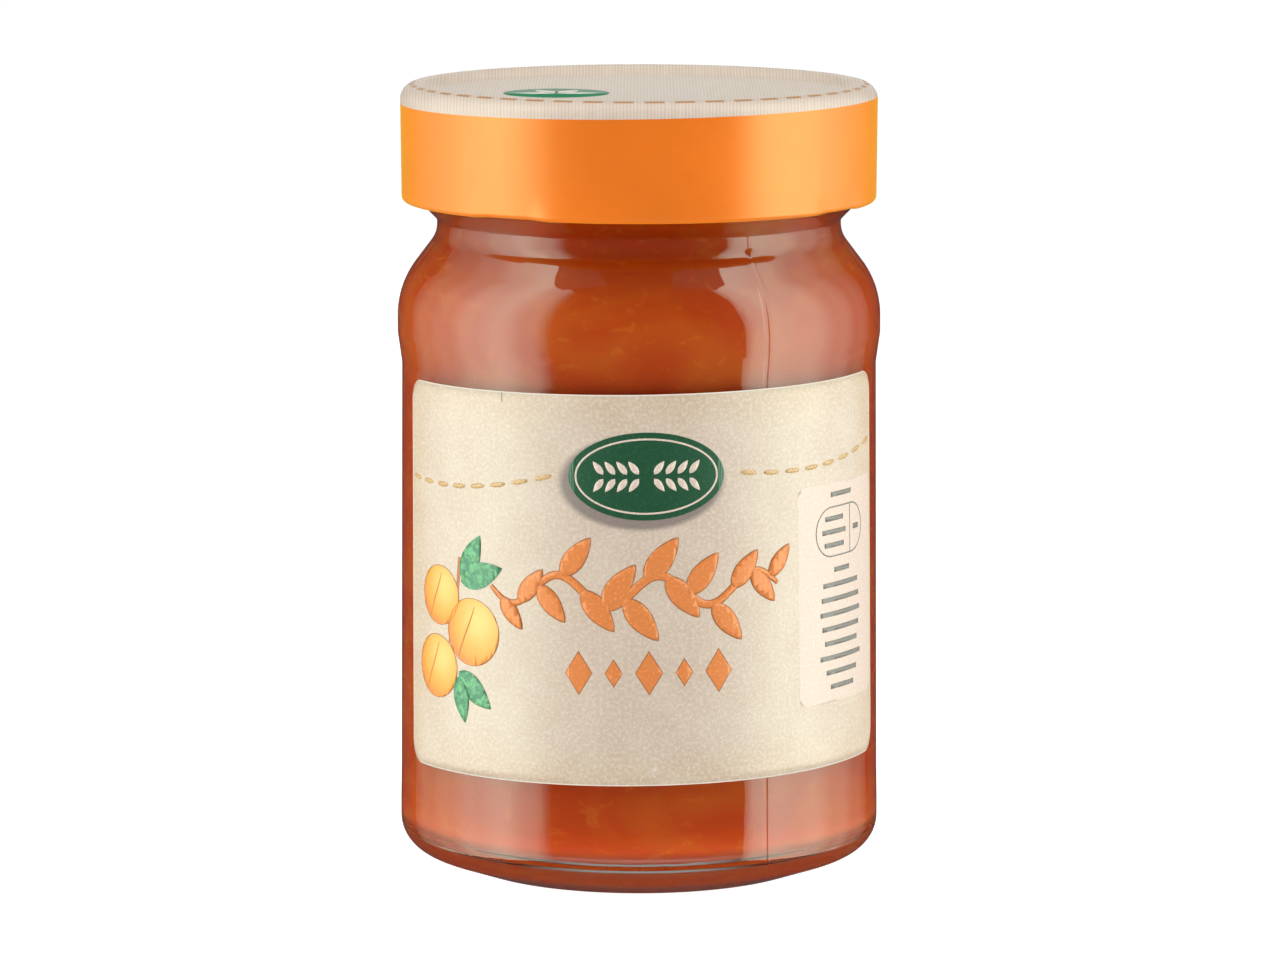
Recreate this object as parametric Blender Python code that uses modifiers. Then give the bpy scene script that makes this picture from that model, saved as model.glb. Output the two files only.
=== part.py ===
"""Glass jam jar with a deep twist-off lid and a wrap-round paper label, filled with jam.

Every turned piece is a profile of corners with rounded fillets, turned about +Z.
The origin is the centre of the jar's base, on the surface it stands on. Lengths
are in metres and +Y is the back, so the label's middle faces -Y.
"""

import math

import bmesh
import bpy
from mathutils import Vector

MM = 0.001

# The whole jar
TOTAL_HEIGHT = 119.2 * MM
TURN_STEPS = 54
MERGE_DISTANCE = 0.01 * MM
TOUCH_GAP = 0.3 * MM

# Lid: a recessed panel, a raised rim, a skirt and a curl rolled in at its foot
LID_RADIUS_TOP = 36.05 * MM
LID_RADIUS_LOW = 35.9 * MM
LID_LOW_Z = 101.4 * MM
LID_WALL = 0.35 * MM
LID_CORNER_ROUND = 2.4 * MM
LID_PANEL_RADIUS = 31.6 * MM
LID_PANEL_DEPTH = 1.3 * MM
LID_PANEL_ROUND = 0.5 * MM
LID_CREST_ROUND = 1.4 * MM
CURL_RADIUS = 0.8 * MM
CURL_TURN_DEG = 255.0
CURL_STEPS = 6
SKIRT_STRAIGHT = 2.0 * MM

# Lugs pressed in from the lid's curl
LUG_COUNT = 4
LUG_FIRST_DEG = -32.7
LUG_SPAN_DEG = 17.0
LUG_STEPS = 2
LUG_REACH_RADIUS = 33.7 * MM
LUG_HEIGHT = 1.2 * MM
LUG_NOSE = 0.4 * MM

# Glass: the finish under the lid, the neck, the shoulder, the body and the heel
GLASS_WALL = 2.3 * MM
BORE_RADIUS = 29.0 * MM
BORE_ROUND = 0.8 * MM
FINISH_RADIUS = 33.1 * MM
FINISH_LOW_Z = 101.3 * MM
FINISH_LOW_ROUND = 0.6 * MM
RIM_ROUND = 1.3 * MM
NECK_RADIUS = 30.55 * MM
NECK_TOP_Z = 98.7 * MM
NECK_TOP_ROUND = 1.0 * MM
NECK_LOW_Z = 96.5 * MM
NECK_ROUND = 4.5 * MM
THROAT_RADIUS = 28.5 * MM
THROAT_Z = 95.6 * MM
SHOULDER_RADIUS = 36.58 * MM
SHOULDER_CORNER_Z = 88.5 * MM
SHOULDER_INNER_CORNER_Z = 87.3 * MM
SHOULDER_ROUND = 13.4 * MM
SHOULDER_LOW_Z = 81.5 * MM
SHOULDER_FOOT_ROUND = 4.0 * MM
PANEL_TOP_RADIUS = 35.95 * MM
PANEL_TOP_Z = 77.0 * MM
PANEL_LOW_RADIUS = 36.37 * MM
PANEL_LOW_Z = 15.0 * MM
HEEL_RADIUS = 36.46 * MM
HEEL_Z = 9.5 * MM
HEEL_ROUND = 5.0 * MM
HEEL_SLOPE_DEG = 19.5
FOOT_OUTER_RADIUS = 26.6 * MM
FOOT_INNER_RADIUS = 24.6 * MM
PUNT_RADIUS = 19.0 * MM
PUNT_HEIGHT = 2.6 * MM
PUNT_CROWN = 0.3 * MM
PUNT_ROUND = 4.0 * MM
FLOOR_Z = 6.2 * MM
FLOOR_EDGE_Z = 5.6 * MM
FLOOR_ROUND = 7.0 * MM

# Thread ridges on the finish, which the lid's lugs turn under
THREAD_COUNT = 4
THREAD_FIRST_DEG = -45.0
THREAD_SPAN_DEG = 62.0
THREAD_STEPS = 8
THREAD_START_Z = 104.1 * MM
THREAD_RISE = 3.6 * MM
THREAD_REACH = 1.2 * MM
THREAD_ROOT = 0.5 * MM
THREAD_HEIGHT = 2.3 * MM

# Jam: its level is just above the lid's lower edge
JAM_LEVEL_Z = 106.0 * MM

# Label: its angles are measured from the front, positive towards +X
LABEL_LEFT_DEG = -69.4
LABEL_RIGHT_DEG = 73.6
LABEL_LOW_Z = 18.35 * MM
LABEL_TOP_Z = 76.46 * MM
LABEL_SLANT_DEG = 0.75
LABEL_CORNER = 3.2 * MM
LABEL_GAP = 0.25 * MM
LABEL_THICKNESS = 0.15 * MM
LABEL_COLUMNS = 36
LABEL_CORNER_COLUMNS = 4
LABEL_ROWS = 3


def clear_scene():
    """Empty the scene of whatever it starts with."""
    for thing in list(bpy.data.objects):
        bpy.data.objects.remove(thing, do_unlink=True)


def new_collection(name, parent):
    """A collection linked under another one."""
    group = bpy.data.collections.new(name)
    parent.children.link(group)
    return group


def new_material(name, colour, roughness, transmission=0.0):
    """A Principled material in one plain colour."""
    material = bpy.data.materials.new(name)
    material.use_nodes = True
    shader = material.node_tree.nodes["Principled BSDF"]
    shader.inputs["Base Color"].default_value = (*colour, 1.0)
    shader.inputs["Roughness"].default_value = roughness
    shader.inputs["Transmission Weight"].default_value = transmission
    return material


def fillet(before, corner, after, radius, pieces):
    """Points of the arc that rounds a corner of a profile in (r, z)."""
    corner = Vector(corner)
    to_before = (Vector(before) - corner).normalized()
    to_after = (Vector(after) - corner).normalized()
    half_angle = to_before.angle(to_after) / 2.0
    tangent = radius / math.tan(half_angle)
    centre = corner + (to_before + to_after).normalized() * radius / math.sin(half_angle)
    start = corner + to_before * tangent - centre
    side = to_before.y * to_after.x - to_before.x * to_after.y
    turn = math.copysign(math.pi - 2.0 * half_angle, side)
    points = []
    for step in range(pieces + 1):
        cosine = math.cos(turn * step / pieces)
        sine = math.sin(turn * step / pieces)
        r = centre.x + start.x * cosine - start.y * sine
        z = centre.y + start.x * sine + start.y * cosine
        points.append((r, z))
    return points


def rounded_profile(corners):
    """Points of a profile whose corners are (r, z) or (r, z, fillet radius, pieces)."""
    points = []
    for index, corner in enumerate(corners):
        if len(corner) == 2:
            points.append(corner)
            continue
        r, z, radius, pieces = corner
        points += fillet(corners[index - 1][:2], (r, z), corners[index + 1][:2], radius, pieces)
    return points


def inset_profile(points, gap):
    """A profile that starts on the axis, moved off its wall to the left by a gap."""
    moved = []
    for index, point in enumerate(points):
        before = Vector(points[max(index - 1, 0)])
        after = Vector(points[min(index + 1, len(points) - 1)])
        along = (after - before).normalized()
        r = point[0] - along.y * gap
        z = point[1] + along.x * gap
        moved.append((0.0 if index == 0 else r, z))
    return moved


def turned(name, profile, group, material):
    """A profile in (r, z) turned about +Z; it runs down the outer side."""
    mesh = bpy.data.meshes.new(name)
    edges = [(index, index + 1) for index in range(len(profile) - 1)]
    mesh.from_pydata([(r, 0.0, z) for r, z in profile], edges, [])
    mesh.materials.append(material)
    piece = bpy.data.objects.new(name, mesh)
    group.objects.link(piece)
    screw = piece.modifiers.new("Turn", "SCREW")
    screw.axis = "Z"
    screw.angle = math.tau
    screw.steps = TURN_STEPS
    screw.render_steps = TURN_STEPS
    screw.use_merge_vertices = True
    screw.merge_threshold = MERGE_DISTANCE
    screw.use_smooth_shade = True
    return piece


def swept_block(name, section, first_deg, span_deg, steps, rise, group):
    """A closed section in (r, z) swept round +Z through an angle, climbing by rise.

    The angle is measured from the front, -Y, and is positive towards +X.
    """
    block = bmesh.new()
    start = math.radians(first_deg - 90.0)
    corners = [block.verts.new((r * math.cos(start), r * math.sin(start), z)) for r, z in section]
    face = block.faces.new(corners)
    bmesh.ops.spin(
        block, geom=[face], cent=(0.0, 0.0, 0.0), axis=(0.0, 0.0, 1.0), dvec=(0.0, 0.0, rise / steps),
        angle=math.radians(span_deg), steps=steps, use_merge=False, use_duplicate=False)
    bmesh.ops.recalc_face_normals(block, faces=block.faces[:])
    mesh = bpy.data.meshes.new(name)
    block.to_mesh(mesh)
    block.free()
    piece = bpy.data.objects.new(name, mesh)
    piece.hide_render = True
    piece.display_type = "WIRE"
    group.objects.link(piece)
    return piece


def fuse_blocks(piece, blocks):
    """Join a collection of blocks to a piece."""
    union = piece.modifiers.new("Fuse", "BOOLEAN")
    union.operation = "UNION"
    union.operand_type = "COLLECTION"
    union.collection = blocks
    union.solver = "EXACT"


def rim_height():
    """Height of the glass rim, which the lid's panel rests on."""
    return TOTAL_HEIGHT - LID_PANEL_DEPTH - LID_WALL - TOUCH_GAP


def heel_corner_height():
    """Height where the sloping underside of the heel would meet the body."""
    return (HEEL_RADIUS - FOOT_OUTER_RADIUS) * math.tan(math.radians(HEEL_SLOPE_DEG))


def panel_radius(z):
    """Outer radius of the glass at a height on its straight label panel."""
    share = (z - PANEL_LOW_Z) / (PANEL_TOP_Z - PANEL_LOW_Z)
    return PANEL_LOW_RADIUS + (PANEL_TOP_RADIUS - PANEL_LOW_RADIUS) * share


def glass_inner_corners():
    """Inside of the glass, from the middle of its floor up to the throat."""
    return [
        (0.0, FLOOR_Z),
        (HEEL_RADIUS - GLASS_WALL, FLOOR_EDGE_Z, FLOOR_ROUND, 4),
        (PANEL_LOW_RADIUS - GLASS_WALL, PANEL_LOW_Z),
        (PANEL_TOP_RADIUS - GLASS_WALL, PANEL_TOP_Z),
        (SHOULDER_RADIUS - GLASS_WALL, SHOULDER_INNER_CORNER_Z, SHOULDER_ROUND - GLASS_WALL, 4),
        (THROAT_RADIUS, THROAT_Z, NECK_ROUND, 3),
    ]


def glass_outer_corners():
    """The rim, then the outside of the glass down to the middle of the base."""
    return [
        (BORE_RADIUS, rim_height(), BORE_ROUND, 2),
        (FINISH_RADIUS, rim_height(), RIM_ROUND, 3),
        (FINISH_RADIUS, FINISH_LOW_Z, FINISH_LOW_ROUND, 2),
        (NECK_RADIUS, NECK_TOP_Z, NECK_TOP_ROUND, 2),
        (NECK_RADIUS, NECK_LOW_Z, NECK_ROUND, 3),
        (SHOULDER_RADIUS, SHOULDER_CORNER_Z, SHOULDER_ROUND, 5),
        (SHOULDER_RADIUS, SHOULDER_LOW_Z, SHOULDER_FOOT_ROUND, 2),
        (PANEL_TOP_RADIUS, PANEL_TOP_Z, SHOULDER_FOOT_ROUND, 2),
        (PANEL_LOW_RADIUS, PANEL_LOW_Z),
        (HEEL_RADIUS, HEEL_Z),
        (HEEL_RADIUS, heel_corner_height(), HEEL_ROUND, 4),
        (FOOT_OUTER_RADIUS, 0.0),
        (FOOT_INNER_RADIUS, 0.0),
        (PUNT_RADIUS, PUNT_HEIGHT, PUNT_ROUND, 2),
        (0.0, PUNT_HEIGHT + PUNT_CROWN),
    ]


def make_thread_ridges(guides):
    """The slanted ridges of the jar's twist-off thread."""
    ridges = new_collection("thread_ridges", guides)
    root = FINISH_RADIUS - THREAD_ROOT
    tip = FINISH_RADIUS + THREAD_REACH
    section = [
        (root, THREAD_START_Z),
        (tip, THREAD_START_Z + THREAD_HEIGHT / 3.0),
        (tip, THREAD_START_Z + THREAD_HEIGHT * 2.0 / 3.0),
        (root, THREAD_START_Z + THREAD_HEIGHT),
    ]
    for number in range(THREAD_COUNT):
        first = THREAD_FIRST_DEG + number * 360.0 / THREAD_COUNT
        name = f"thread_ridge_{number + 1}"
        swept_block(name, section, first, THREAD_SPAN_DEG, THREAD_STEPS, THREAD_RISE, ridges)
    return ridges


def make_glass(group, guides):
    """The glass jar, with its thread ridges fused on."""
    material = new_material("clear_glass", (0.90, 0.94, 0.93), 0.05, transmission=1.0)
    profile = rounded_profile(glass_inner_corners() + glass_outer_corners())
    jar = turned("glass_jar", profile, group, material)
    fuse_blocks(jar, make_thread_ridges(guides))


def make_jam(group):
    """The jam, a solid that follows the inside of the glass up to its level."""
    material = new_material("fruit_jam", (0.62, 0.20, 0.03), 0.25)
    wall = rounded_profile(glass_inner_corners() + [(BORE_RADIUS, JAM_LEVEL_Z)])
    side = inset_profile(wall, TOUCH_GAP)
    turned("jam", [(0.0, JAM_LEVEL_Z)] + side[::-1], group, material)


def lid_profile():
    """The lid's outer face, from the middle of its panel to the end of its curl."""
    panel_z = TOTAL_HEIGHT - LID_PANEL_DEPTH
    curl_r = LID_RADIUS_LOW - CURL_RADIUS
    curl_z = LID_LOW_Z + CURL_RADIUS
    points = rounded_profile([
        (0.0, panel_z),
        (LID_PANEL_RADIUS, panel_z, LID_PANEL_ROUND, 2),
        (LID_PANEL_RADIUS + LID_PANEL_DEPTH, TOTAL_HEIGHT, LID_CREST_ROUND, 2),
        (LID_RADIUS_TOP, TOTAL_HEIGHT, LID_CORNER_ROUND, 4),
        (LID_RADIUS_LOW, curl_z + SKIRT_STRAIGHT),
    ])
    for step in range(CURL_STEPS + 1):
        angle = -math.radians(CURL_TURN_DEG) * step / CURL_STEPS
        points.append((curl_r + CURL_RADIUS * math.cos(angle), curl_z + CURL_RADIUS * math.sin(angle)))
    return points


def make_lugs(guides):
    """Blocks for the stretches of the curl that are pressed in to grip the thread."""
    lugs = new_collection("lid_lugs", guides)
    root = LID_RADIUS_LOW - CURL_RADIUS
    low = LID_LOW_Z + LID_WALL / 2.0
    high = low + LUG_HEIGHT
    section = [
        (root, low),
        (LUG_REACH_RADIUS + LUG_NOSE, low),
        (LUG_REACH_RADIUS, low + LUG_NOSE),
        (LUG_REACH_RADIUS, high - LUG_NOSE),
        (LUG_REACH_RADIUS + LUG_NOSE, high),
        (root, high),
    ]
    for number in range(LUG_COUNT):
        first = LUG_FIRST_DEG - LUG_SPAN_DEG / 2.0 + number * 360.0 / LUG_COUNT
        swept_block(f"lug_{number + 1}", section, first, LUG_SPAN_DEG, LUG_STEPS, 0.0, lugs)
    return lugs


def make_lid(group, guides):
    """The lid, a thin metal shell with its lugs fused on."""
    material = new_material("lid_enamel", (0.90, 0.42, 0.06), 0.35)
    lid = turned("lid", lid_profile(), group, material)
    wall = lid.modifiers.new("Wall", "SOLIDIFY")
    wall.thickness = LID_WALL
    wall.offset = -1.0
    wall.use_even_offset = True
    fuse_blocks(lid, make_lugs(guides))


def label_inset(distance):
    """How far the rounded corner pulls the edge in, at a distance from the side."""
    if distance >= LABEL_CORNER:
        return 0.0
    return LABEL_CORNER - math.sqrt(LABEL_CORNER ** 2 - (LABEL_CORNER - distance) ** 2)


def label_columns(width):
    """Distances of the sheet's columns from its left side, close together at the corners."""
    middle_count = LABEL_COLUMNS - 2 * LABEL_CORNER_COLUMNS
    middle_width = width - 2.0 * LABEL_CORNER
    left = []
    for step in range(LABEL_CORNER_COLUMNS):
        angle = math.pi / 2.0 * step / LABEL_CORNER_COLUMNS
        left.append(LABEL_CORNER * (1.0 - math.cos(angle)))
    middle = [LABEL_CORNER + middle_width * step / middle_count for step in range(middle_count + 1)]
    right = [width - distance for distance in reversed(left)]
    return left + middle + right


def make_label(group):
    """The paper label, a rounded sheet wrapped round the front, stuck on a little askew."""
    material = new_material("label_paper", (0.72, 0.58, 0.38), 0.7)
    middle_z = (LABEL_LOW_Z + LABEL_TOP_Z) / 2.0
    middle_angle = math.radians(LABEL_LEFT_DEG + LABEL_RIGHT_DEG) / 2.0
    height = LABEL_TOP_Z - LABEL_LOW_Z
    width = math.radians(LABEL_RIGHT_DEG - LABEL_LEFT_DEG) * panel_radius(middle_z)
    slant = math.radians(LABEL_SLANT_DEG)
    columns = label_columns(width)

    sheet = bmesh.new()
    bmesh.ops.create_grid(sheet, x_segments=LABEL_COLUMNS, y_segments=LABEL_ROWS, size=0.5)
    for vert in sheet.verts:
        along = columns[round((vert.co.x + 0.5) * LABEL_COLUMNS)]
        inset = label_inset(min(along, width - along))
        across = along - width / 2.0
        up = vert.co.y * (height - 2.0 * inset)
        arc = across * math.cos(slant) - up * math.sin(slant)
        z = middle_z + across * math.sin(slant) + up * math.cos(slant)
        radius = panel_radius(z) + LABEL_GAP
        angle = middle_angle + arc / panel_radius(middle_z)
        vert.co = (radius * math.sin(angle), -radius * math.cos(angle), z)
    mesh = bpy.data.meshes.new("label")
    sheet.to_mesh(mesh)
    sheet.free()
    mesh.materials.append(material)
    label = bpy.data.objects.new("label", mesh)
    group.objects.link(label)
    paper = label.modifiers.new("Thickness", "SOLIDIFY")
    paper.thickness = LABEL_THICKNESS
    paper.offset = 1.0


def main():
    clear_scene()
    jar = new_collection("jam_jar", bpy.context.scene.collection)
    guides = new_collection("guides", bpy.context.scene.collection)
    make_glass(jar, guides)
    make_jam(jar)
    make_lid(jar, guides)
    make_label(jar)


main()
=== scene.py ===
"""Looks of a jam jar: clear glass, amber jam, an enamelled twist-off lid and a printed paper label.

Laid out as a Blender add-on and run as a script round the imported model. Lengths are in metres,
+Z is up and the label's middle faces -Y. Angles round the jar are measured from the front and
are positive towards +X.
"""

import math

import bmesh
import bpy
from bpy.props import FloatProperty, FloatVectorProperty, IntProperty, PointerProperty
from bpy.types import NodeSocket, Operator, Panel, PropertyGroup
from mathutils import Matrix, Vector, noise


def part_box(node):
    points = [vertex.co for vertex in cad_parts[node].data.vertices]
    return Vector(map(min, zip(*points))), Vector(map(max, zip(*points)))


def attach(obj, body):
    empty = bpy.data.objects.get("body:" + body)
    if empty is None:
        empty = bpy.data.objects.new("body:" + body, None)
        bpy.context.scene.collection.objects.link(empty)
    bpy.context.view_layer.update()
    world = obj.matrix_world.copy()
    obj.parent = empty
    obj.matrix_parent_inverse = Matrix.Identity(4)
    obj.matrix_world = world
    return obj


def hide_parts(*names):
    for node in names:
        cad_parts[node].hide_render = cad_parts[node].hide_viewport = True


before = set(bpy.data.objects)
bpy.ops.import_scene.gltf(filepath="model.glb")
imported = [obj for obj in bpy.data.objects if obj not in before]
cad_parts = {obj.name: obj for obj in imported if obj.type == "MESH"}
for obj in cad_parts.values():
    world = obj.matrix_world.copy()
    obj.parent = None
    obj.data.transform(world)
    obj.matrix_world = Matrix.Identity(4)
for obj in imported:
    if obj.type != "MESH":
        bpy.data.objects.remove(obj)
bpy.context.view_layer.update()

bl_info = {
    "name": "Jam Jar Looks",
    "version": (1, 0, 0),
    "blender": (4, 5, 0),
    "location": "3D View > Sidebar > Jam Jar",
    "description": "Dresses the packed jam jar with glass, jam, an enamelled lid and a printed label",
    "category": "Add Mesh",
}

MM = 0.001
BODY = "root"
MERGE_DISTANCE = 0.001 * MM

# Glass, as (radius, height) corners of the turned profile
RIM_Z = 117.25 * MM
BORE_RADIUS = 29.0 * MM
FINISH_RADIUS = 33.1 * MM
FINISH_LOW_Z = 101.3 * MM
NECK_RADIUS = 30.55 * MM
NECK_TOP_Z = 98.7 * MM
NECK_LOW_Z = 96.5 * MM
NECK_ROUND = 4.5 * MM
THROAT_RADIUS = 28.5 * MM
THROAT_Z = 95.6 * MM
SHOULDER_RADIUS = 36.58 * MM
SHOULDER_CORNER_Z = 88.5 * MM
SHOULDER_INNER_CORNER_Z = 87.3 * MM
SHOULDER_ROUND = 13.4 * MM
SHOULDER_LOW_Z = 81.5 * MM
PANEL_TOP_RADIUS = 35.95 * MM
PANEL_TOP_Z = 77.0 * MM
PANEL_LOW_RADIUS = 36.37 * MM
PANEL_LOW_Z = 15.0 * MM
HEEL_RADIUS = 36.46 * MM
HEEL_Z = 9.5 * MM
HEEL_CORNER_Z = 3.49 * MM
FOOT_OUTER_RADIUS = 26.6 * MM
FOOT_INNER_RADIUS = 24.6 * MM
PUNT_RADIUS = 19.0 * MM
PUNT_HEIGHT = 2.6 * MM
PUNT_CROWN = 0.3 * MM
FLOOR_Z = 6.2 * MM
FLOOR_EDGE_Z = 5.6 * MM

# Thread ridges on the glass finish, and the lid's lugs that turn under them
THREAD_COUNT = 4
THREAD_FIRST_DEG = -45.0
THREAD_SPAN_DEG = 62.0
THREAD_LOW_Z = 105.25 * MM
THREAD_RISE = 3.6 * MM
THREAD_HALF_HEIGHT = 1.25 * MM
LUG_COUNT = 4
LUG_FIRST_DEG = -32.7
LUG_HALF_SPAN_DEG = 8.5
LUG_REACH_RADIUS = 33.7 * MM

# Marks that the mould leaves in the glass
SEAM_HALF_DEG = 0.36
SEAM_CUTS_DEG = (-1.6, -1.15, -0.7, -0.35, 0.35, 0.7, 1.15, 1.6)
NECK_SEAM_Z = 97.4 * MM
NECK_SEAM_RISE = 0.025 * MM
NECK_SEAM_HALF = 0.18 * MM
SHOULDER_SEAM_Z = 94.7 * MM
SHOULDER_SEAM_RISE = 0.11 * MM
SHOULDER_SEAM_HALF = 0.32 * MM
SHOULDER_SEAM_WAVE = 0.14 * MM
NUB_Z = 96.2 * MM
NUB_RISE = 0.34 * MM
NUB_SPREAD = 0.55 * MM

# Lid profile
LID_PANEL_RADIUS = 31.6 * MM
LID_RADIUS_TOP = 36.05 * MM
LID_RADIUS_LOW = 35.9 * MM
LID_CORNER_ROUND = 2.4 * MM
CURL_RADIUS = 0.8 * MM
CURL_TURN_DEG = 255.0
CURL_STEPS = 16
LID_COLUMNS = 192
PRINT_SLOPE = 0.0147
STITCH_RING_RADIUS = 34.3 * MM
STITCH_HALF_WIDTH = 0.30 * MM
STITCH_SOFT = 0.12 * MM
STITCH_COUNT = 48.0
STITCH_BROWN = (0.42, 0.20, 0.06)
CLOTH_SLUB = (0.70, 0.62, 0.54)
LID_ROUGHNESS = (0.27, 0.35)
LID_RELIEF = 0.012 * MM

# Label, as angles from the front and heights
LABEL_LEFT_DEG = -69.4
LABEL_RIGHT_DEG = 73.6
LABEL_LOW_Z = 18.35 * MM
LABEL_TOP_Z = 76.46 * MM
LABEL_SLANT = math.radians(0.75)
LABEL_CORNER = 3.2 * MM
CORNER_COLUMNS = 10
MIDDLE_COLUMNS = 110
LABEL_ROWS = 40


def panel_radius(z):
    """Outer radius of the glass at a height on its straight label panel."""
    share = (z - PANEL_LOW_Z) / (PANEL_TOP_Z - PANEL_LOW_Z)
    return PANEL_LOW_RADIUS + (PANEL_TOP_RADIUS - PANEL_LOW_RADIUS) * share


LABEL_MIDDLE_Z = (LABEL_LOW_Z + LABEL_TOP_Z) / 2.0
LABEL_MIDDLE_ANGLE = math.radians(LABEL_LEFT_DEG + LABEL_RIGHT_DEG) / 2.0
LABEL_HEIGHT = LABEL_TOP_Z - LABEL_LOW_Z
LABEL_WIDTH = math.radians(LABEL_RIGHT_DEG - LABEL_LEFT_DEG) * panel_radius(LABEL_MIDDLE_Z)


# Colours of the paper, and the marks on it from the middle of the flat sheet
HATCH_SLANT = math.radians(38.0)
PAPER_GRAIN = (0.84, 0.74, 0.62)
PAPER_FLECK = (0.34, 0.22, 0.13)
PAPER_CLOUD = (0.86, 0.78, 0.66)
PAPER_CUT = (0.86, 0.80, 0.68)
SHADOW_SHIFT = (0.7 * MM, -16.1 * MM, 0.0)
SHADOW_SCALE = (1.0 / 12.0 / MM, 1.0 / 6.9 / MM, 0.0)
SHADOW_TONE = (0.13, 0.10, 0.10)
TICK_SHIFT = 22.4 * MM
TICK_SLIMNESS = 0.09
TICK_TONE = (0.16, 0.13, 0.11)
SCUFF_PLACE = (0.6 * MM, -26.6 * MM, 0.0)
SCUFF_TONE = (0.96, 0.94, 0.90)


# Settings shown in the sidebar

def length(name, description, default):
    """A property that holds a length."""
    return FloatProperty(name=name, description=description, default=default, unit="LENGTH", precision=5)


def colour(name, description, default):
    """A property that holds a colour."""
    return FloatVectorProperty(name=name, description=description, default=default, subtype="COLOR",
                               size=3, min=0.0, max=1.0)


class GlassSettings(PropertyGroup):
    """Sizes and colour of the glass."""
    wall: length("Wall", "Thickness of the glass", 2.3 * MM)
    thread_reach: length("Thread reach", "How far the thread ridges stand out", 1.2 * MM)
    seam_height: length("Seam height", "How far the mould seams stand out", 0.07 * MM)
    seam_column: IntProperty(
        name="Seam column", description="Column of the turned glass that the mould seam follows", default=17)
    columns: IntProperty(name="Columns", description="Columns round the jar", default=192, min=48)
    tint: colour("Tint", "Colour of the glass", (0.965, 0.985, 0.975))


class JamSettings(PropertyGroup):
    """Fit and colours of the jam."""
    reach: length("Reach", "How far the jam reaches into the glass wall, so that no air gap shows", 0.07 * MM)
    level: length("Level", "Height of the jam's surface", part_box("jam")[1].z)
    deep: colour("Deep", "Colour of the clear jelly", (0.57, 0.066, 0.005))
    pulp: colour("Pulp", "Colour of the fruit pulp", (0.72, 0.185, 0.015))
    depth: length("Depth", "How far light spreads in the jam", 5.0 * MM)


class LidSettings(PropertyGroup):
    """Sizes and colours of the lid."""
    top: length("Top", "Height of the lid's crest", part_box("lid")[1].z)
    foot: length("Foot", "Height of the lid's lower edge", 101.4 * MM)
    wall: length("Wall", "Thickness of the metal", 0.35 * MM)
    panel_depth: length("Panel depth", "How far the panel lies below the crest", 1.3 * MM)
    dent_depth: length("Dent depth", "How far the skirt is pressed in over each lug", 0.32 * MM)
    print_low: length("Print low", "Height where the print on the top ends", 116.75 * MM)
    enamel: colour("Enamel", "Colour of the side", (0.79, 0.155, 0.002))
    cloth: colour("Cloth", "Colour of the cloth-like print", (0.67, 0.56, 0.46))


class LabelSettings(PropertyGroup):
    """Sizes and colours of the paper label and its print."""
    gap: length("Glue", "Thickness of the glue under the paper", 0.02 * MM)
    paper: length("Paper", "Thickness of the paper", 0.12 * MM)
    ink: length("Ink", "Thickness of a field of print", 0.012 * MM)
    light: colour("Light paper", "Colour of the middle of the paper", (0.60, 0.48, 0.37))
    tan: colour("Tan paper", "Colour of the paper near its edges", (0.58, 0.42, 0.26))
    green: colour("Green", "Colour of the oval field", (0.006, 0.09, 0.033))
    orange: colour("Orange", "Colour of the garland", (0.76, 0.225, 0.04))
    fruit: colour("Fruit", "Colour of the fruit's shaded side", (0.90, 0.36, 0.03))
    leaf: colour("Leaf", "Colour of the leaves", (0.02, 0.17, 0.07))


class StageSettings(PropertyGroup):
    """Camera and light."""
    lens: FloatProperty(name="Lens", description="Focal length in millimetres", default=169.78)
    camera_height: length("Camera height", "Height of the camera", 194.54 * MM)
    camera_distance: length("Camera distance", "Distance of the camera from the jar's axis", 908.1 * MM)
    camera_tilt: FloatProperty(
        name="Camera tilt", description="Angle of the camera from straight down", unit="ROTATION",
        default=math.radians(81.484))
    gloss_light: FloatProperty(
        name="Gloss light", description="Brightness of the softboxes as gloss shows them", default=4.6)
    soft_light: FloatProperty(
        name="Soft light", description="Brightness of the softboxes as they light the jar", default=3.0)
    overhead_gloss: FloatProperty(
        name="Overhead gloss", description="Brightness of the overhead light as gloss shows it", default=0.3)


# Meshes

def fillet(before, corner, after, radius, pieces):
    """Points of the arc that rounds a corner of a profile in (r, z)."""
    corner = Vector(corner)
    to_before = (Vector(before) - corner).normalized()
    to_after = (Vector(after) - corner).normalized()
    half_angle = to_before.angle(to_after) / 2.0
    centre = corner + (to_before + to_after).normalized() * radius / math.sin(half_angle)
    start = corner + to_before * radius / math.tan(half_angle) - centre
    side = to_before.y * to_after.x - to_before.x * to_after.y
    turn = math.copysign(math.pi - 2.0 * half_angle, side)
    return [tuple(centre + Matrix.Rotation(turn * step / pieces, 2) @ start) for step in range(pieces + 1)]


def rounded_profile(corners):
    """Points of a profile whose corners are (r, z) or (r, z, fillet radius, pieces)."""
    points = []
    for index, corner in enumerate(corners):
        if len(corner) == 2:
            points.append(corner)
            continue
        r, z, radius, pieces = corner
        points += fillet(corners[index - 1][:2], (r, z), corners[index + 1][:2], radius, pieces)
    return points


def refined(points, low, high, longest):
    """A profile whose stretches between two heights are split into short ones."""
    fine = [points[0]]
    for start, end in zip(points, points[1:]):
        count = 1
        if low <= (start[1] + end[1]) / 2.0 <= high:
            count = max(1, math.ceil(math.dist(start, end) / longest))
        fine += [tuple(Vector(start).lerp(Vector(end), step / count)) for step in range(1, count + 1)]
    return fine


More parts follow.
